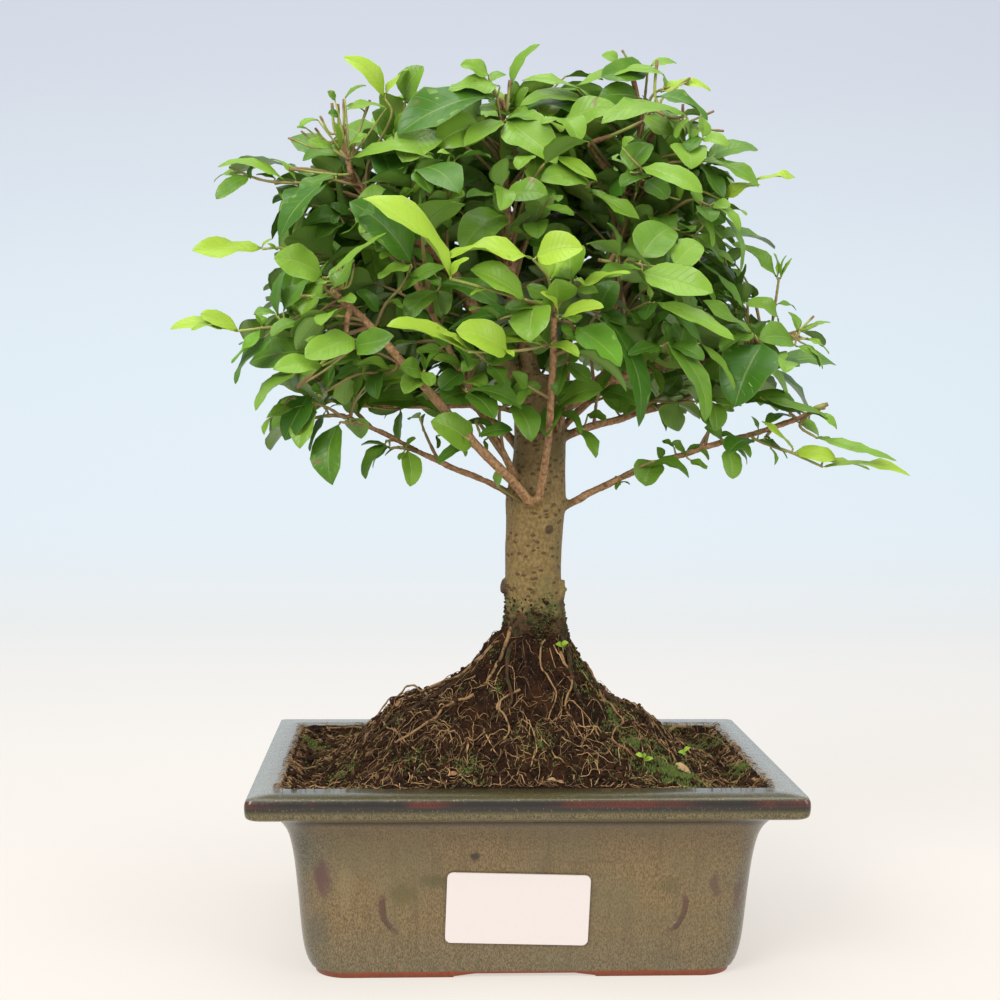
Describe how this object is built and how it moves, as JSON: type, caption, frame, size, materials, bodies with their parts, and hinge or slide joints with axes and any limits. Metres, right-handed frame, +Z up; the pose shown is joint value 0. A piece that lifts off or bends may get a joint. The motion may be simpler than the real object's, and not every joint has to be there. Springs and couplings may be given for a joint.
{
  "type": "chinese privet bonsai",
  "caption": "Small broom-shaped privet tree with leafy sprays on a steep root mound, in a glazed rectangular pot with a flared rim and low feet.",
  "frame": {"origin": "middle of the whole plant's footprint, on the surface that the pot's feet stand on", "axes": "+Z up, the pot's front, with its label, towards -Y, the pot's length along X"},
  "size_m": [0.2142, 0.1435, 0.268],
  "materials": {
    "glaze": "glossy olive-brown glaze with fine dark speckles, blue-grey on the rim, with an unglazed orange clay foot",
    "label_paper": "matt white label paper",
    "drain_mesh": "matt black plastic",
    "soil": "dark crumbly potting soil matted with pale feeder roots and moss",
    "bark": "smooth olive-tan bark with brown pores, redder on the limbs",
    "leaf_mature": "satin mid-green leaf",
    "leaf_young": "satin lime-green young leaf",
    "leaf_small": "satin green small leaf"
  },
  "bodies": {
    "root": {"pot": "glaze", "label": "label_paper", "drain_mesh_left": "drain_mesh", "drain_mesh_right": "drain_mesh", "soil": "soil", "trunk_roots_and_limbs": "bark", "spray_01_front_left_young": "leaf_young", "spray_02_leader_left_young": "leaf_young", "spray_03_leader_left_mature": "leaf_mature", "spray_04_low_left_mature": "leaf_mature", "spray_05_low_left_small": "leaf_small", "spray_06_front_left_mature": "leaf_mature", "spray_07_left_level_mature": "leaf_mature", "spray_08_inner_left_mature": "leaf_mature", "spray_09_back_left_mature": "leaf_mature", "spray_10_leader_left_young": "leaf_young", "spray_11_leader_left_mature": "leaf_mature", "spray_12_leader_middle_mature": "leaf_mature", "spray_13_leader_middle_young": "leaf_young", "spray_14_leader_middle_mature": "leaf_mature", "spray_15_leader_right_mature": "leaf_mature", "spray_16_leader_right_young": "leaf_young", "spray_17_leader_right_mature": "leaf_mature", "spray_18_leader_right_young": "leaf_young", "spray_19_leader_right_mature": "leaf_mature", "spray_20_right_fork_small": "leaf_small", "spray_21_right_fork_small": "leaf_small", "spray_22_right_fork_mature": "leaf_mature", "spray_23_low_right_young": "leaf_young", "spray_24_low_right_small": "leaf_small", "spray_25_low_right_small": "leaf_small", "spray_26_right_mature": "leaf_mature", "spray_27_right_small": "leaf_small", "spray_28_front_post_young": "leaf_young", "spray_29_front_post_young": "leaf_young", "spray_30_front_post_young": "leaf_young", "spray_31_side_post_young": "leaf_young", "spray_32_front_post_mature": "leaf_mature", "spray_33_leader_right_mature": "leaf_mature", "spray_34_right_fork_mature": "leaf_mature", "spray_35_front_left_small": "leaf_small", "spray_36_front_left_mature": "leaf_mature", "spray_37_inner_left_mature": "leaf_mature", "spray_38_leader_middle_mature": "leaf_mature", "spray_39_leader_left_mature": "leaf_mature", "spray_40_leader_right_mature": "leaf_mature", "spray_41_back_mature": "leaf_mature", "spray_42_back_mature": "leaf_mature", "spray_43_back_left_mature": "leaf_mature", "spray_44_back_right_mature": "leaf_mature", "spray_45_back_left_mature": "leaf_mature", "spray_46_back_right_mature": "leaf_mature", "spray_47_crown_back_mature": "leaf_mature", "spray_48_crown_back_mature": "leaf_mature", "spray_49_crown_back_mature": "leaf_mature", "spray_50_leader_left_mature": "leaf_mature", "spray_51_leader_right_mature": "leaf_mature"}
  },
  "joints": []
}
